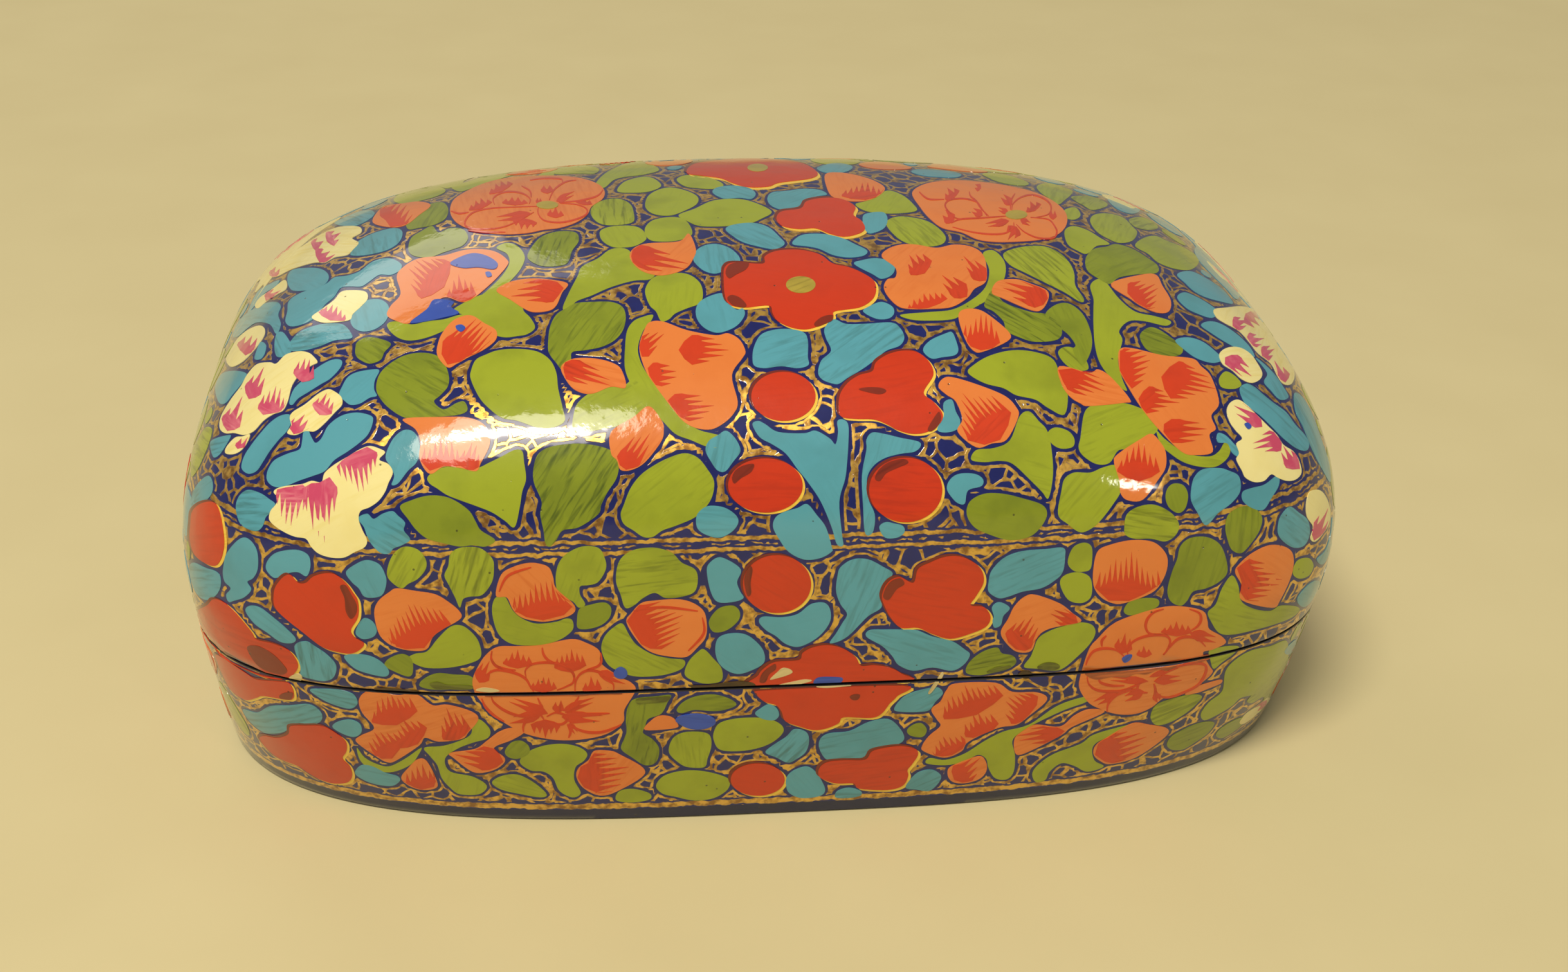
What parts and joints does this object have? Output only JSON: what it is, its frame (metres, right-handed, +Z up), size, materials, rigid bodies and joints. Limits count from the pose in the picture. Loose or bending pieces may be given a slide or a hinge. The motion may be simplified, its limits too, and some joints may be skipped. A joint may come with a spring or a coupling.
{
  "type": "papier-mache box",
  "caption": "Oblong papier-mache box with rounded corners and a flat foot; the domed lid lifts straight off an inner collar.",
  "frame": {"origin": "middle of the flat underside", "axes": "+X along the box, +Z up; the front of the box faces -Y"},
  "size_m": [0.15, 0.092, 0.067],
  "materials": {
    "painted_lacquer": "painted floral pattern under clear gloss varnish",
    "navy_lacquer": "navy paint under clear gloss varnish",
    "dark_painted_paper": "plain dark paint, satin"
  },
  "bodies": {
    "base": {"base_board": "navy_lacquer", "base_shell": "painted_lacquer", "rim_collar": "dark_painted_paper"},
    "lid": {"lid_shell": "painted_lacquer"}
  },
  "joints": [
    {"name": "lid_lift", "type": "slide", "parent": "base", "child": "lid", "axis": [0, 0, 1], "range_m": [0, 0.06]}
  ]
}
